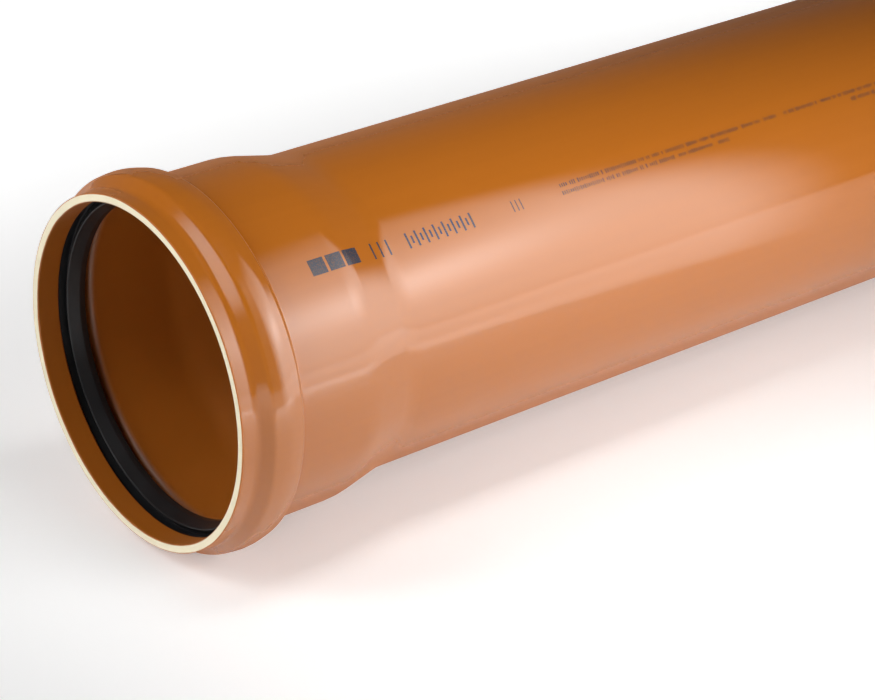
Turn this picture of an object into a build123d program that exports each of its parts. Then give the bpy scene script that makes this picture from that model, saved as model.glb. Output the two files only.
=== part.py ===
from build123d import *
import os

# A length of plastic sewer pipe with a push-fit socket formed on one end and a rubber
# sealing ring held in the socket's groove. The pipe's axis is the X axis. The origin is
# the centre of the socket's mouth, +X runs down the pipe to its spigot end, and +Z is up
# as the pipe lies. All sizes are millimetres.

# Barrel and lengths
OUTSIDE_DIAMETER = 160.0
WALL = 4.7
LAYING_LENGTH = 1000.0
SOCKET_DEPTH = 82.0

# Neck of the socket, a short plain ring in front of the bead
NECK_OUTER_RADIUS = 87.3
NECK_BORE_RADIUS = 83.0
NECK_LENGTH = 8.6
NECK_ROUNDING = 5.0
MOUTH_OUTER_ROUNDING = 0.3
MOUTH_INNER_ROUNDING = 1.0

# Bead, the swelling that houses the sealing ring
BEAD_RADIUS = 93.75
BEAD_CREST = 22.8
BEAD_FRONT = 14.5
BEAD_FRONT_RADIUS = 92.75
BEAD_REAR = 30.8
BEAD_REAR_RADIUS = 91.85
BEAD_END = 34.2
BEAD_FRONT_ROUNDING = 4.0
BEAD_CREST_ROUNDING = 20.0
BEAD_REAR_ROUNDING = 2.5
BEAD_END_ROUNDING = 2.0

# Groove inside the bead
GROOVE_RADIUS = 89.3
GROOVE_FRONT_EDGE = 11.9
GROOVE_FRONT_FLOOR = 15.6
GROOVE_REAR_FLOOR = 26.6
GROOVE_REAR_EDGE = 29.0
GROOVE_ROUNDING = 1.5
GROOVE_FRONT_EDGE_ROUNDING = 0.8
GROOVE_REAR_EDGE_ROUNDING = 5.0

# Socket behind the bead, and the shoulder that narrows it to the barrel
SOCKET_OUTER_RADIUS = 86.1
SOCKET_BORE_RADIUS = 81.65
SHOULDER_START = 76.2
SHOULDER_END = 103.5
SHOULDER_BORE_START = 75.0
SHOULDER_BORE_END = 103.4
SHOULDER_ROUNDING = 40.0

# Spigot end, chamfered so that it slides into the next socket
CHAMFER_LENGTH = 9.0
CHAMFER_DROP = 2.4
SPIGOT_BORE_ROUNDING = 0.3

# Sealing ring: a body that fills the groove, and a lip that leans in and back from its middle.
# A recess in front of the lip and a slit behind it let the lip bend.
RING_FRONT_RADIUS = 86.2
RING_REAR_RADIUS = 85.4
RING_REAR_THICKNESS = 1.4
RECESS_ROOT = 18.3
RECESS_ROOT_RADIUS = 83.9
RECESS_ROOT_WIDTH = 1.3
LIP_CREST = 14.3
LIP_CREST_RADIUS = 80.3
LIP_CREST_ROUNDING = 0.7
LIP_LAND_START = 21.1
LIP_LAND_ROUNDING = 3.0
LIP_END = 24.3
LIP_LAND_RADIUS = 78.0
LIP_TIP_THICKNESS = 1.9
SLIT_ROOT = 20.3
SLIT_ROOT_RADIUS = 83.3
SLIT_ROOT_WIDTH = 1.4
RING_ROUNDING = 0.6

BARREL_RADIUS = OUTSIDE_DIAMETER / 2
BARREL_BORE_RADIUS = BARREL_RADIUS - WALL
TOTAL_LENGTH = LAYING_LENGTH + SOCKET_DEPTH


def turned(corners):
    """Turn a closed outline about the pipe's axis.

    Each corner is its distance from the mouth, its radius from the axis and its rounding.
    """
    points = [(distance, 0, radius) for distance, radius, _ in corners]
    roundings = [rounding for _, _, rounding in corners]
    outline = FilletPolyline(*points, radius=roundings, close=True)
    return revolve(make_face(outline), axis=Axis.X)


def on_line(start, end, radius):
    """Distance from the mouth where the line from start to end has this radius."""
    share = (radius - start[1]) / (end[1] - start[1])
    return start[0] + share * (end[0] - start[0])


def socketed_pipe():
    """Barrel, shoulder, socket, bead and neck, formed from one length of pipe."""
    outside = [
        (0, NECK_OUTER_RADIUS, MOUTH_OUTER_ROUNDING),
        (NECK_LENGTH, NECK_OUTER_RADIUS, NECK_ROUNDING),
        (BEAD_FRONT, BEAD_FRONT_RADIUS, BEAD_FRONT_ROUNDING),
        (BEAD_CREST, BEAD_RADIUS, BEAD_CREST_ROUNDING),
        (BEAD_REAR, BEAD_REAR_RADIUS, BEAD_REAR_ROUNDING),
        (BEAD_END, SOCKET_OUTER_RADIUS, BEAD_END_ROUNDING),
        (SHOULDER_START, SOCKET_OUTER_RADIUS, SHOULDER_ROUNDING),
        (SHOULDER_END, BARREL_RADIUS, SHOULDER_ROUNDING),
        (TOTAL_LENGTH - CHAMFER_LENGTH, BARREL_RADIUS, 0),
        (TOTAL_LENGTH, BARREL_RADIUS - CHAMFER_DROP, 0),
    ]
    inside = [
        (TOTAL_LENGTH, BARREL_BORE_RADIUS, SPIGOT_BORE_ROUNDING),
        (SHOULDER_BORE_END, BARREL_BORE_RADIUS, SHOULDER_ROUNDING),
        (SHOULDER_BORE_START, SOCKET_BORE_RADIUS, SHOULDER_ROUNDING),
        (GROOVE_REAR_EDGE, SOCKET_BORE_RADIUS, GROOVE_REAR_EDGE_ROUNDING),
        (GROOVE_REAR_FLOOR, GROOVE_RADIUS, GROOVE_ROUNDING),
        (GROOVE_FRONT_FLOOR, GROOVE_RADIUS, GROOVE_ROUNDING),
        (GROOVE_FRONT_EDGE, NECK_BORE_RADIUS, GROOVE_FRONT_EDGE_ROUNDING),
        (0, NECK_BORE_RADIUS, MOUTH_INNER_ROUNDING),
    ]
    return turned(outside + inside)


def sealing_ring():
    """Rubber ring, whose back follows the groove's walls."""
    front_edge = (GROOVE_FRONT_EDGE, NECK_BORE_RADIUS)
    front_floor = (GROOVE_FRONT_FLOOR, GROOVE_RADIUS)
    rear_floor = (GROOVE_REAR_FLOOR, GROOVE_RADIUS)
    rear_edge = (GROOVE_REAR_EDGE, SOCKET_BORE_RADIUS)
    front_contact = on_line(front_edge, front_floor, RING_FRONT_RADIUS)
    rear_contact = on_line(rear_floor, rear_edge, RING_REAR_RADIUS)
    back = [
        (front_contact, RING_FRONT_RADIUS, 0),
        (GROOVE_FRONT_FLOOR, GROOVE_RADIUS, GROOVE_ROUNDING),
        (GROOVE_REAR_FLOOR, GROOVE_RADIUS, GROOVE_ROUNDING),
        (rear_contact, RING_REAR_RADIUS, 0),
    ]
    slit = [
        (rear_contact - RING_REAR_THICKNESS, RING_REAR_RADIUS, RING_ROUNDING),
        (SLIT_ROOT, SLIT_ROOT_RADIUS + SLIT_ROOT_WIDTH, RING_ROUNDING),
        (SLIT_ROOT, SLIT_ROOT_RADIUS, RING_ROUNDING),
    ]
    lip = [
        (LIP_END, LIP_LAND_RADIUS + LIP_TIP_THICKNESS, RING_ROUNDING),
        (LIP_END, LIP_LAND_RADIUS, RING_ROUNDING),
        (LIP_LAND_START, LIP_LAND_RADIUS, LIP_LAND_ROUNDING),
        (LIP_CREST, LIP_CREST_RADIUS, LIP_CREST_ROUNDING),
    ]
    recess = [
        (RECESS_ROOT, RECESS_ROOT_RADIUS, RING_ROUNDING),
        (RECESS_ROOT, RECESS_ROOT_RADIUS + RECESS_ROOT_WIDTH, RING_ROUNDING),
    ]
    return turned(back + slit + lip + recess)


PIECES = {
    "socketed_pipe": socketed_pipe,
    "sealing_ring": sealing_ring,
}

os.makedirs("parts", exist_ok=True)
for name, make in PIECES.items():
    export_step(make(), f"parts/{name}.step")
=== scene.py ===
"""A length of socketed sewer pipe and its rubber sealing ring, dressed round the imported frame."""

import logging
import math
from dataclasses import dataclass
from enum import Enum

import bpy
from mathutils import Matrix, Vector

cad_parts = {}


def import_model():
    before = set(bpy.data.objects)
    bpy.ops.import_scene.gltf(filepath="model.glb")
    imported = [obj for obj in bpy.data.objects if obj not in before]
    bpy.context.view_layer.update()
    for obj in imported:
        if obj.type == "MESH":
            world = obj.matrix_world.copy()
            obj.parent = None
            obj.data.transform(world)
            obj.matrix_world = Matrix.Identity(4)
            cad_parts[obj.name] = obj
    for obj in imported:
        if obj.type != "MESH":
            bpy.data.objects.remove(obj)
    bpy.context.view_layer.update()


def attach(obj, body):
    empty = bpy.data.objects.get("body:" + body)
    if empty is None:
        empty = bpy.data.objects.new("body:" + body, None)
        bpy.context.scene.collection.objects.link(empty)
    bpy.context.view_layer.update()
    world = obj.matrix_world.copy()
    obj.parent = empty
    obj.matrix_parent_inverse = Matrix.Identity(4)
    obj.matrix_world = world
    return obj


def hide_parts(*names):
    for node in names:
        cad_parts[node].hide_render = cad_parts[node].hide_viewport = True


LOG = logging.getLogger("sewer_pipe")
MM = 0.001
BODY = "root"
SHARP_ANGLE = math.radians(28.0)
PLASTIC = (0.46, 0.136, 0.012)
Point = tuple[float, float]
Place = tuple[float, float, float]
Socket = bpy.types.NodeSocket
Operand = float | Socket


@dataclass(frozen=True)
class Corner:
    """One corner of a turned outline: distance from the mouth, radius and rounding, in mm."""

    distance: float
    radius: float
    rounding: float = 0.0

    def at(self) -> Vector:
        """The corner as a point of the outline's plane."""
        return Vector((self.distance, self.radius))


@dataclass
class Outline:
    """A closed outline with rounded corners, which is turned about the pipe's axis.

    Attributes:
        corners: its corners.
        arc_step: the most that one step of an arc turns.
        support: how far support points stand from a straight run's ends, in mm.
        run_step: the longest step along a straight run, in mm.
        shortest: how many supports long a run has to be to have support points.
    """

    corners: list[Corner]
    arc_step: float = math.radians(7.0)
    support: float = 0.35
    run_step: float = 60.0
    shortest: float = 3.0

    def rounded(self, index: int) -> list[Vector]:
        """Points of one corner's arc, from its start to its end.

        Args:
            index: the corner's place in the outline.

        Returns:
            The arc's points, or the corner itself where it is sharp.
        """
        corner = self.corners[index]
        here = corner.at()
        before = (self.corners[index - 1].at() - here).normalized()
        after = (self.corners[(index + 1) % len(self.corners)].at() - here).normalized()
        if corner.rounding <= 0:
            return [here]
        half = before.angle(after) / 2
        reach = corner.rounding / math.tan(half)
        centre = here + (before + after).normalized() * (corner.rounding / math.sin(half))
        start, end = here + before * reach - centre, here + after * reach - centre
        sweep = start.angle_signed(end)
        steps = max(2, math.ceil(abs(sweep) / self.arc_step))
        return [
            centre + Matrix.Rotation(-sweep * step / steps, 2) @ start
            for step in range(steps + 1)
        ]

    def points(self) -> list[Point]:
        """Trace the whole outline.

        Returns:
            The outline's points, in metres.
        """
        arcs = [self.rounded(index) for index in range(len(self.corners))]
        found: list[Vector] = []
        for index, arc in enumerate(arcs):
            found.extend(arc)
            start, end = arc[-1], arcs[(index + 1) % len(arcs)][0]
            length = (end - start).length
            if length < self.shortest * self.support:
                continue
            inner = length - 2 * self.support
            pieces = max(1, math.ceil(inner / self.run_step))
            stops = [self.support + inner * piece / pieces for piece in range(pieces + 1)]
            found.extend(start.lerp(end, stop / length) for stop in stops)
        return [(point.x * MM, point.y * MM) for point in found]


class NodeTree:
    """A thin wrapper that adds nodes to a tree and links their sockets in one call."""

    def __init__(self, tree: bpy.types.NodeTree) -> None:
        """Keep the tree that the nodes go into."""
        self.tree = tree

    def add(self, kind: str, values: dict | None = None, **settings) -> bpy.types.Node:
        """Add one node.

        Args:
            kind: the node's type name.
            values: input socket name or index to a value or to an output socket to link from.
            settings: the node's own properties.

        Returns:
            The new node.
        """
        node = self.tree.nodes.new(kind)
        for name, value in settings.items():
            setattr(node, name, value)
        for key, value in (values or {}).items():
            socket = node.inputs[key]
            if isinstance(value, Socket):
                self.tree.links.new(value, socket)
            else:
                socket.default_value = value
        return node

    def math(self, operation: str, *operands: Operand, clamp: bool = False) -> Socket:
        """The result of a math node, kept from 0 to 1 if it is clamped."""
        settings = {"operation": operation, "use_clamp": clamp}
        return self.add("ShaderNodeMath", dict(enumerate(operands)), **settings).outputs[0]

    def vector(self, operation: str, *operands: object, result: str = "Vector") -> Socket:
        """The result of a vector math node, from its output Vector or Value."""
        node = self.add("ShaderNodeVectorMath", dict(enumerate(operands)), operation=operation)
        return node.outputs[result]

    def noise(self, place: Socket, scale: Place, detail: float = 2.0) -> Socket:
        """Smooth noise about 0.5, which repeats so often per metre along each axis."""
        values = {"Vector": self.vector("MULTIPLY", place, scale), "Scale": 1.0, "Detail": detail}
        return self.add("ShaderNodeTexNoise", values).outputs[0]

    def ranged(self, value: Operand, low: float, high: float) -> Socket:
        """Noise spread over a range, whose ends it reaches at 0.25 and 0.75 and can pass."""
        values = {"Value": value, "From Min": 0.25, "From Max": 0.75, "To Min": low, "To Max": high}
        return self.add("ShaderNodeMapRange", values, clamp=False).outputs[0]

    def blend(self, share: Operand, first: object, second: object) -> Socket:
        """A mix of two colours.

        Args:
            share: how much of the second colour there is.
            first: the first colour or socket.
            second: the second colour or socket.

        Returns:
            The node's output socket.
        """
        node = self.add("ShaderNodeMix", data_type="RGBA")
        for key, value in (("Factor", share), ("A", first), ("B", second)):
            socket = next(item for item in node.inputs if item.name == key and item.enabled)
            if isinstance(value, Socket):
                self.tree.links.new(value, socket)
            else:
                socket.default_value = value if key == "Factor" else (*value, 1.0)
        return next(item for item in node.outputs if item.enabled)

    def bump(self, height: Operand, depth: float, under: Socket | None = None) -> Socket:
        """A normal that follows a height.

        Args:
            height: the height, from 0 to 1.
            depth: how deep a height of 1 is, in metres.
            under: the normal of a coarser bump, if there is one.

        Returns:
            The node's output socket.
        """
        values = {"Strength": 1.0, "Distance": depth, "Height": height}
        if under is not None:
            values["Normal"] = under
        return self.add("ShaderNodeBump", values).outputs[0]

    def smooth(self, value: Operand, low: Operand, high: Operand) -> Socket:
        """A soft step from 0, where the value is low, to 1, where it is high."""
        values = {"Value": value, "From Min": low, "From Max": high}
        return self.add("ShaderNodeMapRange", values, interpolation_type="SMOOTHSTEP").outputs[0]


def new_tree(name: str, **inputs: tuple[str, ...]) -> bpy.types.NodeTree:
    """Start a Geometry Nodes tree whose output is one geometry.

    Args:
        name: the tree's name.
        inputs: for each kind of socket, the names of the tree's inputs.

    Returns:
        The tree, still without nodes.
    """
    tree = bpy.data.node_groups.new(name, "GeometryNodeTree")
    for kind, names in inputs.items():
        for item in names:
            tree.interface.new_socket(item, in_out="INPUT", socket_type=f"NodeSocket{kind}")
    tree.interface.new_socket("Geometry", in_out="OUTPUT", socket_type="NodeSocketGeometry")
    return tree


class Turned:
    """Turns closed outlines about the X axis with a Geometry Nodes tree."""

    SEGMENTS = 320
    MERGE = 1e-6

    def __init__(self) -> None:
        """Build the tree once: it is shared by every turned piece."""
        self.tree = new_tree(
            "turn_about_axis",
            Geometry=("Outline",),
            Int=("Segments",),
            Material=("Finish", "Mouth finish", "Spigot finish"),
            Float=("Mouth cut end", "Spigot cut start"),
        )
        self._nodes()

    def _nodes(self) -> None:
        """Sample the outline on a grid, wrap the grid round the axis and give it its finishes."""
        nodes = NodeTree(self.tree)
        given = nodes.add("NodeGroupInput").outputs
        size = nodes.add("GeometryNodeAttributeDomainSize", {"Geometry": given["Outline"]})
        count = size.outputs["Point Count"]
        around = nodes.math("ADD", given["Segments"], 1)
        along = nodes.math("ADD", count, 1)
        values = {"Size X": count, "Size Y": given["Segments"]}
        values |= {"Vertices X": along, "Vertices Y": around}
        grid = nodes.add("GeometryNodeMeshGrid", values).outputs["Mesh"]
        place = nodes.add("GeometryNodeInputPosition").outputs[0]
        split = nodes.add("ShaderNodeSeparateXYZ", {0: place}).outputs
        row = nodes.math("ADD", split["X"], nodes.math("MULTIPLY", count, 0.5))
        row = nodes.math("MODULO", nodes.math("ROUND", row), count)
        turn = nodes.math("ADD", nodes.math("DIVIDE", split["Y"], given["Segments"]), 0.5)
        angle = nodes.math("MULTIPLY", turn, math.tau)
        sample = nodes.add(
            "GeometryNodeSampleIndex",
            {"Geometry": given["Outline"], "Value": place, "Index": row},
            data_type="FLOAT_VECTOR",
            domain="POINT",
        )
        outline = nodes.add("ShaderNodeSeparateXYZ", {0: sample.outputs["Value"]}).outputs
        values = {
            "X": outline["X"],
            "Y": nodes.math("MULTIPLY", outline["Z"], nodes.math("SINE", angle)),
            "Z": nodes.math("MULTIPLY", outline["Z"], nodes.math("COSINE", angle)),
        }
        turned = nodes.add("ShaderNodeCombineXYZ", values).outputs[0]
        values = {"Geometry": grid, "Position": turned}
        shell = nodes.add("GeometryNodeSetPosition", values).outputs[0]
        values = {"Geometry": shell, "Distance": self.MERGE}
        shell = nodes.add("GeometryNodeMergeByDistance", values).outputs[0]
        shell = nodes.add("GeometryNodeRealizeInstances", {"Geometry": shell}).outputs[0]
        distance = nodes.add("ShaderNodeSeparateXYZ", {0: place}).outputs["X"]
        choices = (
            ("Finish", True),
            ("Mouth finish", nodes.math("LESS_THAN", distance, given["Mouth cut end"])),
            ("Spigot finish", nodes.math("GREATER_THAN", distance, given["Spigot cut start"])),
        )
        for finish, where in choices:
            values = {"Geometry": shell, "Selection": where, "Material": given[finish]}
            shell = nodes.add("GeometryNodeSetMaterial", values).outputs[0]
        nodes.add("NodeGroupOutput", {"Geometry": shell})

    def make(self, name: str, outline: Outline, inputs: dict[str, object]) -> bpy.types.Object:
        """Turn one outline into a plain mesh object.

        Args:
            name: the new piece's name.
            outline: the closed outline to turn.
            inputs: values for the tree's named inputs, apart from its segments.

        Returns:
            The finished piece, at the origin, with no modifier left on it.
        """
        points = outline.points()
        mesh = bpy.data.meshes.new(f"{name}_outline")
        edges = [(index, (index + 1) % len(points)) for index in range(len(points))]
        mesh.from_pydata([(distance, 0.0, radius) for distance, radius in points], edges, [])
        carrier = bpy.data.objects.new(f"{name}_outline", mesh)
        bpy.context.scene.collection.objects.link(carrier)
        return bake_nodes(carrier, self.tree, name, {"Segments": self.SEGMENTS, **inputs})


def bake_nodes(
    carrier: bpy.types.Object, tree: bpy.types.NodeTree, name: str, inputs: dict[str, object]
) -> bpy.types.Object:
    """Run a Geometry Nodes tree on an object and keep the result as a plain mesh object.

    Args:
        carrier: the object that the tree starts from; it is removed.
        tree: the Geometry Nodes tree.
        name: the new piece's name.
        inputs: values for the tree's named inputs.

    Returns:
        The new piece.
    """
    modifier = carrier.modifiers.new("nodes", "NODES")
    modifier.node_group = tree
    for item in tree.interface.items_tree:
        if item.item_type == "SOCKET" and item.in_out == "INPUT" and item.name in inputs:
            modifier[item.identifier] = inputs[item.name]
    bpy.context.view_layer.update()
    graph = bpy.context.evaluated_depsgraph_get()
    mesh = bpy.data.meshes.new_from_object(carrier.evaluated_get(graph))
    mesh.name = name
    mesh.shade_smooth()
    mesh.set_sharp_from_angle(angle=SHARP_ANGLE)
    bpy.data.objects.remove(carrier)
    piece = bpy.data.objects.new(name, mesh)
    bpy.context.scene.collection.objects.link(piece)
    return piece


class Finish:
    """A material being made: its nodes, its shader's sockets and the piece's own coordinates."""

    def __init__(self, name: str) -> None:
        """Start from the plain shader.

        Args:
            name: the material's name.
        """
        self.material = bpy.data.materials.new(name)
        self.material.use_nodes = True
        self.nodes = NodeTree(self.material.node_tree)
        self.sockets = self.material.node_tree.nodes["Principled BSDF"].inputs
        self.place = self.nodes.add("ShaderNodeTexCoord").outputs["Object"]

    def distance(self) -> Socket:
        """A point's distance from the mouth."""
        return self.nodes.add("ShaderNodeSeparateXYZ", {0: self.place}).outputs["X"]

    def across(self) -> Socket:
        """A point's place across the pipe, from its axis."""
        return self.nodes.vector("MULTIPLY", self.place, (0, 1, 1))

    def radius(self) -> Socket:
        """A point's distance from the pipe's axis."""
        return self.nodes.vector("LENGTH", self.across(), result="Value")

    def section(self) -> Socket:
        """Coordinates that are the same all round the axis."""
        values = {"X": self.distance(), "Y": self.radius()}
        return self.nodes.add("ShaderNodeCombineXYZ", values).outputs[0]

    def link(self, **values: Socket) -> None:
        """Link outputs to the shader's sockets, whose spaces are written as underscores."""
        for name, value in values.items():
            self.nodes.tree.links.new(value, self.sockets[name.replace("_", " ")])


@dataclass(frozen=True)
class PipeSkin:
    """Glossy orange-brown plastic as it leaves the extruder, duller and painted darker as shade in
    the bore.
    """

    colour: Place = PLASTIC
    shade: float = 0.95
    bore_painted_shade: float = 0.90
    specular: float = 0.9
    gloss: Point = (0.075, 0.115)
    bore_dulling: float = 0.30
    grazing: Point = (0.58, 0.91)
    grazing_dulling: float = 0.45
    line_scale: Place = (1.6, 260.0, 260.0)
    line_depth: float = 5.0e-6
    sway_scale: Place = (9.0, 26.0, 26.0)
    sway_depth: float = 1.2e-4
    hoop_scale: Place = (330.0, 4.0, 4.0)
    hoop_depth: float = 4.0e-6
    cloud_scale: Place = (11.0, 17.0, 17.0)
    grain_scale: Place = (900.0, 900.0, 900.0)
    grain_gloss: float = 0.01
    formed_end: Point = (0.114, 0.094)

    def build(self) -> bpy.types.Material:
        """Make the material.

        Returns:
            The material, with die lines along the barrel and forming lines round the socket.
        """
        finish = Finish("pipe_skin")
        nodes = finish.nodes
        outwards = nodes.vector("NORMALIZE", finish.across())
        normal = nodes.add("ShaderNodeNewGeometry").outputs["Normal"]
        facing = nodes.vector("DOT_PRODUCT", normal, outwards, result="Value")
        bore = nodes.math("LESS_THAN", facing, 0.0)
        lines = nodes.noise(finish.place, self.line_scale, detail=1.0)
        clouds = nodes.noise(finish.place, self.cloud_scale, detail=3.0)
        grain = nodes.noise(finish.place, self.grain_scale, detail=1.0)
        halves = (nodes.ranged(pattern, 0.0, 0.5) for pattern in (lines, clouds))
        depth = nodes.math("ADD", *halves, clamp=True)
        dark = tuple(part * self.shade for part in self.colour)
        outside = nodes.blend(depth, dark, self.colour)
        # The bore gets a darker copy of the plastic's colour: painted shade inside the pipe.
        inside = tuple(part * self.bore_painted_shade for part in self.colour)
        finish.link(Base_Color=nodes.blend(bore, outside, inside))
        fine = nodes.ranged(grain, -self.grain_gloss, self.grain_gloss)
        rough = nodes.math("ADD", nodes.ranged(lines, *self.gloss), fine)
        edge_on = nodes.smooth(nodes.add("ShaderNodeLayerWeight").outputs["Facing"], *self.grazing)
        rough = nodes.math("MULTIPLY_ADD", edge_on, self.grazing_dulling, rough)
        finish.link(Roughness=nodes.math("MULTIPLY_ADD", bore, self.bore_dulling, rough))
        finish.sockets["Specular IOR Level"].default_value = self.specular
        formed = nodes.smooth(finish.distance(), *self.formed_end)
        hoops = nodes.noise(finish.place, self.hoop_scale, detail=1.0)
        hoops = nodes.math("MULTIPLY", hoops, formed)
        sway = nodes.noise(finish.place, self.sway_scale, detail=1.0)
        drawn = nodes.bump(lines, self.line_depth, nodes.bump(sway, self.sway_depth))
        finish.link(Normal=nodes.bump(hoops, self.hoop_depth, drawn))
        return finish.material


@dataclass(frozen=True)
class CutEnd:
    """A sawn end: a cream core between the pipe's thin inner and outer skins."""

    name: str
    bore: float
    outside: float
    skin: float = 0.45
    skin_colour: Place = PLASTIC
    core: Place = (0.92, 0.85, 0.66)
    core_shade: Place = (0.84, 0.74, 0.50)
    border: float = 0.20
    waver: float = 0.12
    waver_scale: Place = (60.0, 60.0, 60.0)
    tool_marks: Place = (2200.0, 2200.0, 2200.0)
    tool_depth: float = 4.0e-5
    pore_scale: Place = (2600.0, 2600.0, 2600.0)
    patch_scale: Place = (90.0, 90.0, 90.0)
    mark_wear: Point = (0.3, 0.9)
    patch_wear: Point = (0.4, 1.1)
    roughness: Point = (0.48, 0.66)

    def build(self) -> bpy.types.Material:
        """Make the material.

        Returns:
            The material, with fine ring-shaped tool marks and pores in the core.
        """
        finish = Finish(self.name)
        nodes = finish.nodes
        drift = nodes.noise(finish.place, self.waver_scale, detail=3.0)
        drift = nodes.ranged(drift, -self.waver, self.waver)
        edge = nodes.math("MULTIPLY_ADD", drift, MM, finish.radius())
        border = self.border * MM
        outer, inner = (self.outside - self.skin) * MM, (self.bore + self.skin) * MM
        outer_skin = nodes.smooth(edge, outer - border, outer + border)
        inner_skin = nodes.smooth(edge, inner + border, inner - border)
        skins = nodes.math("MAXIMUM", outer_skin, inner_skin)
        marks = nodes.noise(finish.section(), self.tool_marks)
        pores = nodes.noise(finish.place, self.pore_scale)
        patches = nodes.noise(finish.place, self.patch_scale, detail=3.0)
        patches = nodes.ranged(patches, *self.patch_wear)
        worn = nodes.math("MULTIPLY", nodes.ranged(marks, *self.mark_wear), patches, clamp=True)
        core = nodes.blend(worn, self.core, self.core_shade)
        finish.link(Base_Color=nodes.blend(skins, core, self.skin_colour))
        finish.link(Roughness=nodes.ranged(pores, *self.roughness))
        carved = nodes.bump(marks, self.tool_depth)
        finish.link(Normal=nodes.bump(pores, self.tool_depth / 2, carved))
        return finish.material


@dataclass(frozen=True)
class RingRubber:
    """Satin black moulded rubber with a faint bloom."""

    colour: Place = (0.009, 0.0095, 0.0105)
    bloom: Place = (0.015, 0.016, 0.0175)
    specular: float = 0.5
    gloss: Point = (0.30, 0.44)
    dust_scale: Place = (70.0, 45.0, 45.0)
    grain_scale: Place = (2400.0, 2400.0, 2400.0)
    flow_lines: Place = (1500.0, 1500.0, 1500.0)
    flow_depth: float = 2.0e-5

    def build(self) -> bpy.types.Material:
        """Make the material.

        Returns:
            The material, with fine lines round the ring and a dusty bloom in patches.
        """
        finish = Finish("ring_rubber")
        nodes = finish.nodes
        dust = nodes.noise(finish.place, self.dust_scale, detail=4.0)
        grain = nodes.noise(finish.place, self.grain_scale)
        finish.link(Base_Color=nodes.blend(nodes.ranged(dust, 0.0, 1.0), self.colour, self.bloom))
        finish.link(Roughness=nodes.ranged(dust, *self.gloss))
        finish.sockets["Specular IOR Level"].default_value = self.specular
        lines = nodes.noise(finish.section(), self.flow_lines, detail=1.0)
        lines = nodes.bump(lines, self.flow_depth)
        finish.link(Normal=nodes.bump(grain, self.flow_depth / 2, lines))
        return finish.material


@dataclass(frozen=True)
class PrintInk:
    """Thin blue-grey marking ink, broken up where it has not wetted the plastic."""

    name: str
    colour: Place = (0.040, 0.043, 0.062)
    thin: Place = (0.17, 0.070, 0.030)
    thin_patches: Point = (-0.5, 0.8)
    patch_scale: Place = (1400.0, 1400.0, 1400.0)
    specular: float = 0.7
    gloss: Point = (0.12, 0.24)

    def build(self) -> bpy.types.Material:
        """Make the material.

        Returns:
            The material, whose ink thins to the plastic's colour in fine patches.
        """
        finish = Finish(self.name)
        nodes = finish.nodes
        patches = nodes.noise(finish.place, self.patch_scale, detail=3.0)
        share = nodes.math("MAXIMUM", nodes.ranged(patches, *self.thin_patches), 0.0)
        finish.link(Base_Color=nodes.blend(share, self.colour, self.thin))
        finish.link(Roughness=nodes.ranged(patches, *self.gloss))
        finish.sockets["Specular IOR Level"].default_value = self.specular
        return finish.material


@dataclass(frozen=True)
class Groove:
    """The groove inside the bead, whose walls the sealing ring's back follows, in mm."""

    front_edge: Point = (11.9, 83.0)
    front_floor: Point = (15.6, 89.3)
    rear_floor: Point = (26.6, 89.3)
    rear_edge: Point = (29.0, 81.65)
    rounding: float = 1.5
    front_edge_rounding: float = 0.8
    rear_edge_rounding: float = 5.0


@dataclass(frozen=True)
class Bead:
    """The outside of the bead that houses the sealing ring, in mm."""

    front: Corner = Corner(14.5, 92.75, 4.0)
    crest: Corner = Corner(22.8, 93.75, 20.0)
    rear: Corner = Corner(30.8, 91.85, 2.5)
    end: float = 34.2
    end_rounding: float = 2.0


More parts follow.
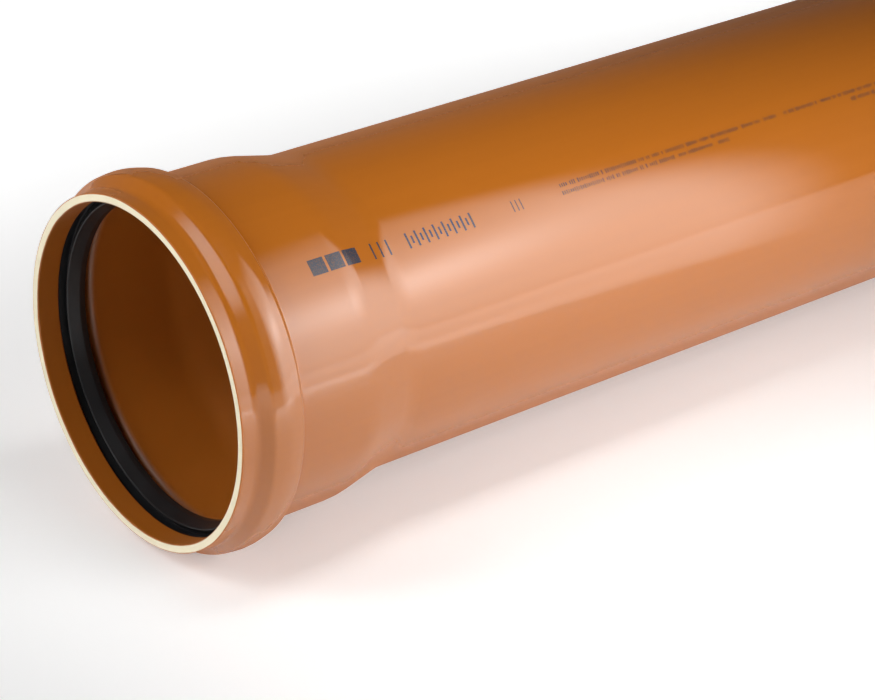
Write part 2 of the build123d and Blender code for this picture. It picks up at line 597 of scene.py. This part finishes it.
@dataclass
class SocketedPipe:
    """The pipe with its formed socket: neck, bead, socket, shoulder, barrel and spigot, in mm."""

    total_length: float = 1082.0
    barrel_radius: float = 80.0
    wall: float = 4.7
    neck_outer: float = 87.3
    neck_bore: float = 83.0
    neck_length: float = 8.6
    neck_rounding: float = 5.0
    rim_outer_rounding: float = 0.3
    rim_bore_rounding: float = 1.0
    socket_outer: float = 86.1
    shoulder: Point = (76.2, 103.5)
    shoulder_bore: Point = (75.0, 103.4)
    shoulder_rounding: float = 40.0
    chamfer_length: float = 9.0
    chamfer_drop: float = 2.4
    spigot_bore_rounding: float = 0.3
    mouth_cut_end: float = 0.5
    spigot_cut_margin: float = 0.05
    bead: Bead = Bead()
    groove: Groove = Groove()

    def outline(self) -> Outline:
        """Follow the pipe's section, down its outside and back through its bore.

        Returns:
            The closed outline.
        """
        bead, groove = self.bead, self.groove
        bore = self.barrel_radius - self.wall
        outside = [
            Corner(0, self.neck_outer, self.rim_outer_rounding),
            Corner(self.neck_length, self.neck_outer, self.neck_rounding),
            bead.front,
            bead.crest,
            bead.rear,
            Corner(bead.end, self.socket_outer, bead.end_rounding),
            Corner(self.shoulder[0], self.socket_outer, self.shoulder_rounding),
            Corner(self.shoulder[1], self.barrel_radius, self.shoulder_rounding),
            Corner(self.total_length - self.chamfer_length, self.barrel_radius),
            Corner(self.total_length, self.barrel_radius - self.chamfer_drop),
        ]
        inside = [
            Corner(self.total_length, bore, self.spigot_bore_rounding),
            Corner(self.shoulder_bore[1], bore, self.shoulder_rounding),
            Corner(self.shoulder_bore[0], groove.rear_edge[1], self.shoulder_rounding),
            Corner(*groove.rear_edge, groove.rear_edge_rounding),
            Corner(*groove.rear_floor, groove.rounding),
            Corner(*groove.front_floor, groove.rounding),
            Corner(*groove.front_edge, groove.front_edge_rounding),
            Corner(0, self.neck_bore, self.rim_bore_rounding),
        ]
        return Outline(outside + inside)

    def build(self, turned: Turned) -> bpy.types.Object:
        """Make the pipe and hand it to the frame.

        Args:
            turned: the shared turning tree.

        Returns:
            The pipe's piece.
        """
        bore = self.barrel_radius - self.wall
        chamfer = self.total_length - self.chamfer_length
        inputs = {
            "Finish": PipeSkin().build(),
            "Mouth finish": CutEnd("mouth_cut", self.neck_bore, self.neck_outer).build(),
            "Spigot finish": CutEnd("spigot_cut", bore, self.barrel_radius).build(),
            "Mouth cut end": self.mouth_cut_end * MM,
            "Spigot cut start": (chamfer + self.spigot_cut_margin) * MM,
        }
        pipe = turned.make("pipe_with_socket", self.outline(), inputs)
        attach(pipe, BODY)
        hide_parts("socketed_pipe")
        return pipe


@dataclass
class SealingRing:
    """The rubber ring in the bead's groove: its back, its lip and the lip's two gaps, in mm."""

    groove: Groove = Groove()
    front_radius: float = 86.2
    rear_radius: float = 85.4
    rear_thickness: float = 1.4
    slit_root: float = 20.3
    slit_radii: Point = (83.3, 84.7)
    lip_end: float = 24.3
    lip_radii: Point = (78.0, 79.9)
    lip_land: Corner = Corner(21.1, 78.0, 3.0)
    lip_crest: Corner = Corner(14.3, 80.3, 0.7)
    recess_root: float = 18.3
    recess_radii: Point = (83.9, 85.2)
    rounding: float = 0.6

    def contact(self, start: Point, end: Point, radius: float) -> float:
        """Distance from the mouth where the groove's wall from start to end has this radius."""
        share = (radius - start[1]) / (end[1] - start[1])
        return start[0] + share * (end[0] - start[0])

    def outline(self) -> Outline:
        """Follow the ring's section, round its back and then its slit, lip and recess.

        Returns:
            The closed outline.
        """
        groove = self.groove
        front = self.contact(groove.front_edge, groove.front_floor, self.front_radius)
        rear = self.contact(groove.rear_floor, groove.rear_edge, self.rear_radius)
        back = [
            Corner(front, self.front_radius),
            Corner(*groove.front_floor, groove.rounding),
            Corner(*groove.rear_floor, groove.rounding),
            Corner(rear, self.rear_radius),
        ]
        slit = [Corner(rear - self.rear_thickness, self.rear_radius, self.rounding)]
        slit += [Corner(self.slit_root, radius, self.rounding) for radius in self.slit_radii[::-1]]
        lip = [Corner(self.lip_end, radius, self.rounding) for radius in self.lip_radii[::-1]]
        lip += [self.lip_land, self.lip_crest]
        recess = [Corner(self.recess_root, radius, self.rounding) for radius in self.recess_radii]
        return Outline(back + slit + lip + recess)

    def build(self, turned: Turned) -> bpy.types.Object:
        """Make the ring and hand it to the frame.

        Args:
            turned: the shared turning tree.

        Returns:
            The ring's piece.
        """
        rubber = RingRubber().build()
        # One finish all over, so where the tree's two cuts lie makes no difference.
        inputs = dict.fromkeys(("Finish", "Mouth finish", "Spigot finish"), rubber)
        ring = turned.make("rubber_sealing_ring", self.outline(), inputs)
        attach(ring, BODY)
        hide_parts("sealing_ring")
        return ring


class Stroke(Enum):
    """The kinds of plain mark in a printed row, by the share of each step that is inked."""

    BAR = 0.86
    TICK = 0.21
    FINE = 0.56


@dataclass(frozen=True)
class MarkRow:
    """One printed row of plain marks along the pipe, in mm and degrees.

    Attributes:
        name: the row's name.
        start: where it starts, from the socket's mouth.
        end: where it ends.
        turn: its middle, turned about the axis from straight up towards -Y.
        height: how tall its marks are round the pipe.
        steps: how many marks there is room for.
        stroke: the kind of mark.
        uneven: by what share the marks' lengths and heights vary.
        gaps: the share of marks left out.
        seed: the seed of that variation.
    """

    name: str
    start: float
    end: float
    turn: float
    height: float
    steps: int
    stroke: Stroke
    uneven: float = 0.0
    gaps: float = 0.0
    seed: int = 0


class PrintedMarks:
    """Wraps rows of plain marks on the pipe's surface with a Geometry Nodes tree.

    Their thickness and how far they are sunk are in mm. Each mark is cut finely enough along the
    pipe and round it to follow the surface.
    """

    THICKNESS = 0.04
    SUNK = 0.02
    BAR_CUTS = 16
    STROKE_CUTS = 3
    ROUND_CUTS = 6
    SEED_STEP = 10.0
    START = 0.13
    UNROLLED_RADIUS = 0.083
    FINE_COLOUR = (0.075, 0.042, 0.040)
    FINE_THIN = (0.22, 0.080, 0.025)

    ROWS = (
        MarkRow("mark_block", 57.0, 87.0, 46.1, 7.6, 3, Stroke.BAR),
        MarkRow("mark_ticks_first", 93.5, 108.5, 46.2, 8.2, 3, Stroke.TICK),
        MarkRow("mark_ticks_long", 115.0, 159.0, 46.2, 8.2, 8, Stroke.TICK),
        MarkRow("mark_ticks_short", 117.75, 156.25, 46.2, 4.0, 7, Stroke.TICK),
        MarkRow("mark_ticks_last", 180.5, 188.5, 46.2, 6.0, 3, Stroke.TICK),
        MarkRow("mark_upper_line", 211.5, 640.0, 44.3, 2.6, 330, Stroke.FINE, 0.4, 0.14, 3),
        MarkRow("mark_lower_line", 212.5, 325.0, 47.2, 2.6, 86, Stroke.FINE, 0.4, 0.14, 8),
        MarkRow("mark_lower_line_far", 413.5, 640.0, 47.2, 2.6, 174, Stroke.FINE, 0.4, 0.14, 5),
    )

    def __init__(self) -> None:
        """Build the tree once: it is shared by every row."""
        self.tree = new_tree(
            "marks_in_a_row",
            Geometry=("Row",),
            Object=("Pipe",),
            Material=("Ink",),
            Float=("Start", "Step", "Turn", "Height", "Inked share", "Uneven", "Gaps"),
            Int=("Steps", "Seed", "Cuts"),
        )
        nodes = NodeTree(self.tree)
        given = nodes.add("NodeGroupInput").outputs
        wrapped = self._wrapped(nodes, self._plates(nodes, given), given)
        values = {"Geometry": wrapped, "Material": given["Ink"]}
        inked = nodes.add("GeometryNodeSetMaterial", values).outputs[0]
        nodes.add("NodeGroupOutput", {"Geometry": inked})

    def _plates(self, nodes: NodeTree, given: bpy.types.NodeOutputs) -> Socket:
        """Lay thin closed plates in a flat row along X, one to a step.

        Args:
            nodes: the tree.
            given: the tree's inputs.

        Returns:
            The flat plates.
        """
        first = nodes.math("MULTIPLY_ADD", given["Step"], 0.5, given["Start"])
        values = {
            "Count": given["Steps"],
            "Start Location": nodes.add("ShaderNodeCombineXYZ", {"X": first}).outputs[0],
            "Offset": nodes.add("ShaderNodeCombineXYZ", {"X": given["Step"]}).outputs[0],
        }
        row = nodes.add("GeometryNodeMeshLine", values).outputs[0]
        kept = self._chance(nodes, given["Seed"], 0)
        missing = nodes.math("LESS_THAN", kept, given["Gaps"])
        values = {"Geometry": row, "Selection": missing}
        row = nodes.add("GeometryNodeDeleteGeometry", values).outputs[0]
        values = {"Vertices X": given["Cuts"], "Vertices Y": self.ROUND_CUTS, "Vertices Z": 2}
        plate = nodes.add("GeometryNodeMeshCube", values).outputs[0]
        sizes = {"Z": (self.THICKNESS + self.SUNK) * MM}
        full = nodes.math("MULTIPLY", given["Step"], given["Inked share"])
        for axis, whole, salt in (("X", full, 1), ("Y", given["Height"], 2)):
            less = nodes.math("MULTIPLY", self._chance(nodes, given["Seed"], salt), given["Uneven"])
            sizes[axis] = nodes.math("MULTIPLY", whole, nodes.math("SUBTRACT", 1.0, less))
        size = nodes.add("ShaderNodeCombineXYZ", sizes).outputs[0]
        values = {"Points": row, "Instance": plate, "Scale": size}
        plates = nodes.add("GeometryNodeInstanceOnPoints", values).outputs[0]
        return nodes.add("GeometryNodeRealizeInstances", {"Geometry": plates}).outputs[0]

    def _chance(self, nodes: NodeTree, seed: Socket, salt: int) -> Socket:
        """A random number from 0 to 1 for each step, one of several that the salt tells apart."""
        values = {"Seed": nodes.math("MULTIPLY_ADD", seed, self.SEED_STEP, float(salt))}
        return nodes.add("FunctionNodeRandomValue", values, data_type="FLOAT").outputs["Value"]

    def _wrapped(self, nodes: NodeTree, flat: Socket, given: bpy.types.NodeOutputs) -> Socket:
        """Roll flat plates round the axis and drop them on the pipe along its radii.

        Args:
            nodes: the tree.
            flat: the flat plates.
            given: the tree's inputs.

        Returns:
            The plates on the pipe.
        """
        place = nodes.add("GeometryNodeInputPosition").outputs[0]
        here = nodes.add("ShaderNodeSeparateXYZ", {0: place}).outputs
        angle = nodes.math("MULTIPLY_ADD", here["Y"], 1.0 / self.UNROLLED_RADIUS, given["Turn"])
        beside = nodes.math("MULTIPLY", nodes.math("SINE", angle), -1.0)
        away = {"Y": beside, "Z": nodes.math("COSINE", angle)}
        outwards = nodes.add("ShaderNodeCombineXYZ", away).outputs[0]
        along = nodes.add("ShaderNodeCombineXYZ", {"X": here["X"]}).outputs[0]
        above = nodes.vector("MULTIPLY_ADD", outwards, (self.START,) * 3, along)
        pipe = nodes.add("GeometryNodeObjectInfo", {"Object": given["Pipe"]}).outputs["Geometry"]
        downwards = nodes.vector("MULTIPLY", outwards, (-1.0,) * 3)
        values = {"Target Geometry": pipe, "Source Position": above, "Ray Direction": downwards}
        hit = nodes.add("GeometryNodeRaycast", values).outputs
        lift = nodes.math("ADD", here["Z"], (self.THICKNESS - self.SUNK) / 2 * MM)
        lifts = nodes.add("ShaderNodeCombineXYZ", {"X": lift, "Y": lift, "Z": lift}).outputs[0]
        laid = nodes.vector("MULTIPLY_ADD", outwards, lifts, hit["Hit Position"])
        return nodes.add("GeometryNodeSetPosition", {"Geometry": flat, "Position": laid}).outputs[0]

    def build(self, pipe: bpy.types.Object) -> list[bpy.types.Object]:
        """Print every row and hand it to the frame.

        Args:
            pipe: the finished pipe that the marks lie on.

        Returns:
            One piece per row.
        """
        fine_ink = PrintInk("print_ink_fine", self.FINE_COLOUR, self.FINE_THIN)
        inks = {Stroke.FINE: fine_ink.build()}
        inks[Stroke.BAR] = inks[Stroke.TICK] = PrintInk("print_ink").build()
        pieces = []
        for row in self.ROWS:
            inputs = {
                "Pipe": pipe,
                "Ink": inks[row.stroke],
                "Start": row.start * MM,
                "Step": (row.end - row.start) / row.steps * MM,
                "Turn": math.radians(row.turn),
                "Height": row.height * MM,
                "Inked share": row.stroke.value,
                "Uneven": row.uneven,
                "Gaps": row.gaps,
                "Steps": row.steps,
                "Seed": row.seed,
                "Cuts": self.BAR_CUTS if row.stroke is Stroke.BAR else self.STROKE_CUTS,
            }
            mesh = bpy.data.meshes.new(f"{row.name}_row")
            carrier = bpy.data.objects.new(f"{row.name}_row", mesh)
            bpy.context.scene.collection.objects.link(carrier)
            piece = bake_nodes(carrier, self.tree, row.name, inputs)
            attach(piece, BODY)
            pieces.append(piece)
        return pieces


class Reach(Enum):
    """What a lamp is for: lighting surfaces or showing in their gloss."""

    LIGHT = "light"
    GLOSS = "gloss"


class Glow:
    """How brightly each place on a lamp's face shines."""

    def __init__(self, lamp: bpy.types.Light) -> None:
        """Turn the lamp's nodes on and read the place on its face, from 0 to 1 each way.

        Args:
            lamp: the lamp.
        """
        lamp.use_nodes = True
        self.nodes = NodeTree(lamp.node_tree)
        place = self.nodes.add("ShaderNodeNewGeometry").outputs["Parametric"]
        split = self.nodes.add("ShaderNodeSeparateXYZ", {0: place}).outputs
        self.across, self.up = split["X"], split["Y"]

    def link(self, strength: Socket) -> None:
        """Link an output to the lamp's strength."""
        tree = self.nodes.tree
        tree.links.new(strength, tree.nodes["Emission"].inputs["Strength"])


@dataclass(frozen=True)
class Softbox:
    """A rectangular lamp, in metres, placed by its middle and aimed at a point.

    Its spread is in degrees. Its fade is the share of its width over which it dims to its edges.
    """

    name: str
    place: Place
    aim: Place
    width: float
    height: float
    radiance: float
    reach: Reach = Reach.LIGHT
    spread: float = 180.0
    fade: float = 0.0

    def build(self) -> bpy.types.Object:
        """Make the lamp.

        Returns:
            The lamp's object, which the camera doesn't see.
        """
        lamp = bpy.data.lights.new(self.name, "AREA")
        lamp.shape = "RECTANGLE"
        lamp.size = self.width
        lamp.size_y = self.height
        lamp.energy = math.pi * self.width * self.height * self.radiance
        lamp.spread = math.radians(self.spread)
        item = bpy.data.objects.new(self.name, lamp)
        bpy.context.scene.collection.objects.link(item)
        back = (Vector(self.place) - Vector(self.aim)).normalized()
        right = Vector((0, 0, 1)).cross(back).normalized()
        axes = Matrix((right, back.cross(right), back)).transposed().to_4x4()
        item.matrix_world = Matrix.Translation(Vector(self.place)) @ axes
        item.visible_camera = False
        item.visible_diffuse = self.reach is not Reach.GLOSS
        item.visible_glossy = self.reach is not Reach.LIGHT
        item.visible_transmission = self.reach is not Reach.LIGHT
        if self.fade > 0:
            self.soften(lamp)
        return item

    def soften(self, lamp: bpy.types.Light) -> None:
        """Fade the lamp's glow out towards its edges, as a cloth-fronted box does.

        Args:
            lamp: the lamp to soften.
        """
        glow = Glow(lamp)
        nodes = glow.nodes
        shares = []
        for place in (glow.across, glow.up):
            inside = nodes.math("MINIMUM", place, nodes.math("SUBTRACT", 1.0, place))
            shares.append(nodes.smooth(inside, 0.0, self.fade))
        glow.link(nodes.math("MULTIPLY", *shares))


@dataclass(frozen=True)
class GlowCard:
    """The upright bright card whose picture lies along the pipe's side, in metres.

    It stands on the floor. Its glow has a hot spot, fades out upwards and at its sides, and its
    right edge leans outwards above a certain height.
    """

    floor_level: float
    foot: Point = (0.295, -0.438)
    along: Point = (0.721, 0.692)
    left: float = -0.17
    right: float = 0.44
    height: float = 0.95
    radiance: float = 2.9
    hot_spot: float = 2.45
    hot_place: Point = (0.08, 0.315)
    hot_spread: Point = (0.07, 0.055)
    left_fade: Point = (-0.17, 0.0)
    right_edge: float = 0.285
    right_softness: float = 0.045
    lean_from: float = 0.40
    lean: float = 0.2
    fade_up: tuple[Point, ...] = (
        (0.0, 0.25),
        (0.053, 0.54),
        (0.105, 0.77),
        (0.158, 0.93),
        (0.25, 1.0),
        (0.42, 0.91),
        (0.47, 0.80),
        (0.53, 0.69),
        (0.63, 0.50),
        (0.74, 0.37),
        (0.84, 0.20),
        (1.0, 0.0),
    )

    def build(self) -> bpy.types.Object:
        """Make the card as a lamp that shows in gloss alone.

        Returns:
            The lamp's object.
        """
        along = Vector((*self.along, 0)).normalized()
        width = self.right - self.left
        foot = Vector((*self.foot, self.floor_level))
        place = foot + along * (self.left + self.right) / 2 + Vector((0, 0, self.height / 2))
        aim = place + Vector((-along.y, along.x, 0))
        stand = (tuple(place), tuple(aim))
        item = Softbox("glow_card", *stand, width, self.height, 1.0, Reach.GLOSS).build()
        self.glow(item.data, width)
        return item

    def glow(self, lamp: bpy.types.Light, width: float) -> None:
        """Give the card its hot spot and its fades.

        Args:
            lamp: the card's lamp.
            width: how wide the card is.
        """
        glow = Glow(lamp)
        nodes = glow.nodes
        across = nodes.math("MULTIPLY_ADD", glow.across, width, self.left)
        height = nodes.math("MULTIPLY", glow.up, self.height)
        sheet = nodes.add("ShaderNodeFloatCurve", {"Value": glow.up})
        curve = sheet.mapping.curves[0]
        for point, (level, share) in zip(curve.points, (self.fade_up[0], self.fade_up[-1])):
            point.location = (level, share)
        for level, share in self.fade_up[1:-1]:
            curve.points.new(level, share)
        sheet.mapping.update()
        above = nodes.math("MAXIMUM", nodes.math("SUBTRACT", height, self.lean_from), 0.0)
        edge = nodes.math("MULTIPLY_ADD", above, self.lean, self.right_edge)
        inside = nodes.math("DIVIDE", nodes.math("SUBTRACT", edge, across), self.right_softness)
        body = nodes.math("MULTIPLY", sheet.outputs[0], self.radiance)
        body = nodes.math("MULTIPLY", body, nodes.smooth(inside, -1.0, 1.0))
        body = nodes.math("MULTIPLY", body, nodes.smooth(across, *self.left_fade))
        beside = nodes.math("SUBTRACT", across, self.hot_place[0])
        beside = nodes.math("DIVIDE", beside, self.hot_spread[0])
        above = nodes.math("SUBTRACT", height, self.hot_place[1])
        above = nodes.math("DIVIDE", above, self.hot_spread[1])
        squares = nodes.math("MULTIPLY_ADD", beside, beside, nodes.math("MULTIPLY", above, above))
        spot = nodes.math("EXPONENT", nodes.math("MULTIPLY", squares, -0.5))
        glow.link(nodes.math("MULTIPLY_ADD", spot, self.hot_spot, body))


@dataclass(frozen=True)
class Studio:
    """Floor, lamps, surroundings and camera, in metres.

    The mouth's card is given by its place and by the point that it faces.
    """

    floor_level: float = -0.09344
    floor_radius: float = 6.0
    floor_edges: int = 96
    floor_colour: Place = (0.88, 0.88, 0.88)
    floor_roughness: float = 0.9
    floor_specular: float = 0.1
    floor_lift: Point = (0.25, 0.80)
    shadow_reach: Point = (0.08, 0.55)
    lift_reach: Point = (1.5, 3.6)
    horizon: float = 0.17
    overhead: float = 0.035
    overhead_from: float = 0.7
    mouth_card: tuple[Place, Place] = ((-0.865, -0.018, 0.80), (0.02, 0, 0))
    lens: float = 118.73
    camera_place: Place = (-0.64707, -1.02128, 0.59970)
    camera_right: Place = (0.776261, -0.630411, 0.0)
    camera_down: Place = (-0.276715, -0.340735, -0.898514)

    def softboxes(self) -> list[Softbox]:
        """List the plain lamps, which stand round the pipe and above it.

        Returns:
            The lamps, not yet built.
        """
        return [
            Softbox("key", (0.25, -0.52, 0.16), (0.25, 0, 0), 0.35, 0.4, 4.9),
            Softbox("key_far", (0.45, -0.29, 0.12), (0.45, 0, -0.05), 0.25, 0.3, 0.5, spread=120.0),
            Softbox("top", (0.16, -0.20, 0.72), (0.16, -0.02, 0), 0.30, 0.20, 0.80, spread=45.0),
            Softbox("mouth_gloss", *self.mouth_card, 1.5, 0.72, 1.95, Reach.GLOSS, fade=0.3),
            Softbox("mouth_fill", *self.mouth_card, 1.24, 0.57, 0.9),
            Softbox("mouth_near", (-0.32, 0.06, 0.42), (0, 0, 0.03), 0.22, 0.22, 0.58, spread=50.0),
            Softbox("mouth_back", (-0.9, 0.45, 0.45), (0, 0, 0), 0.5, 0.5, 2.0, spread=120.0),
            Softbox("mouth_low", (-1.1, -0.3, 0.2), (0, 0, 0), 0.8, 0.5, 2.9),
            Softbox("back", (0.35, 1.5, 0.5), (0.35, 0, 0), 1.6, 0.6, 1.5),
            Softbox("spigot_side", (1.25, -0.95, 0.6), (1.02, 0, 0), 0.5, 0.5, 0.8, spread=30.0),
            Softbox("spigot_end", (1.9, 0.1, 0.25), (1.08, 0, 0), 0.5, 0.5, 0.65, spread=40.0),
        ]

    def floor(self) -> bpy.types.Object:
        """Lay a plain pale disc under the pipe.

        To the camera, in gloss and through clear things it is lifted towards white, least near
        the pipe, where the shadow lies, and not at all far away.

        Returns:
            The floor's object.
        """
        bpy.ops.mesh.primitive_circle_add(
            vertices=self.floor_edges,
            radius=self.floor_radius,
            fill_type="NGON",
            location=(0, 0, self.floor_level),
        )
        floor = bpy.context.object
        floor.name = "floor"
        material = bpy.data.materials.new("pale_floor")
        material.use_nodes = True
        nodes = NodeTree(material.node_tree)
        shader = material.node_tree.nodes["Principled BSDF"].inputs
        shader["Base Color"].default_value = (*self.floor_colour, 1.0)
        shader["Roughness"].default_value = self.floor_roughness
        shader["Specular IOR Level"].default_value = self.floor_specular
        shader["Emission Color"].default_value = (1.0, 1.0, 1.0, 1.0)
        rays = nodes.add("ShaderNodeLightPath").outputs
        seen = nodes.math("ADD", rays["Is Camera Ray"], rays["Is Glossy Ray"])
        seen = nodes.math("ADD", seen, rays["Is Transmission Ray"], clamp=True)
        place = nodes.add("ShaderNodeTexCoord").outputs["Object"]
        beside = nodes.add("ShaderNodeSeparateXYZ", {0: place}).outputs["Y"]
        near, far = self.floor_lift
        away = nodes.smooth(nodes.math("ABSOLUTE", beside), *self.shadow_reach)
        lift = nodes.math("MULTIPLY_ADD", away, far - near, near)
        distance = nodes.vector("LENGTH", place, result="Value")
        start, end = self.lift_reach
        lift = nodes.math("MULTIPLY", lift, nodes.smooth(distance, end, start))
        glow = nodes.math("MULTIPLY", seen, lift)
        material.node_tree.links.new(glow, shader["Emission Strength"])
        floor.data.materials.append(material)
        return floor

    def world(self) -> None:
        """Dim surroundings, lighter at the horizon than overhead."""
        world = bpy.data.worlds.new("surroundings")
        bpy.context.scene.world = world
        world.use_nodes = True
        nodes = NodeTree(world.node_tree)
        direction = nodes.add("ShaderNodeTexCoord").outputs["Generated"]
        height = nodes.add("ShaderNodeSeparateXYZ", {0: direction}).outputs["Z"]
        values = {"Value": height, "From Min": 0.0, "From Max": self.overhead_from}
        values |= {"To Min": self.horizon, "To Max": self.overhead}
        level = nodes.add("ShaderNodeMapRange", values).outputs[0]
        world.node_tree.links.new(level, world.node_tree.nodes["Background"].inputs["Strength"])
        world.node_tree.nodes["Background"].inputs["Color"].default_value = (1.0, 1.0, 1.0, 1.0)

    def camera(self) -> bpy.types.Object:
        """Set the camera at the photograph's view.

        Returns:
            The camera's object.
        """
        data = bpy.data.cameras.new("camera")
        data.lens = self.lens
        item = bpy.data.objects.new("camera", data)
        bpy.context.scene.collection.objects.link(item)
        right, up = Vector(self.camera_right), -Vector(self.camera_down)
        turn = Matrix((right, up, right.cross(up))).transposed().to_4x4()
        item.matrix_world = Matrix.Translation(Vector(self.camera_place)) @ turn
        bpy.context.scene.camera = item
        return item

    def build(self) -> None:
        """Set the whole studio up."""
        self.floor()
        self.world()
        GlowCard(self.floor_level).build()
        for box in self.softboxes():
            box.build()
        self.camera()
        bpy.context.scene.view_settings.view_transform = "Standard"


def main() -> None:
    """Build the studio and each piece, and log how many faces each piece has."""
    logging.basicConfig(level=logging.INFO)
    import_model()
    Studio().build()
    turned = Turned()
    pipe = SocketedPipe().build(turned)
    ring = SealingRing().build(turned)
    for piece in (pipe, ring, *PrintedMarks().build(pipe)):
        LOG.info("%s: %d faces", piece.name, len(piece.data.polygons))


if __name__ == "__main__":
    main()
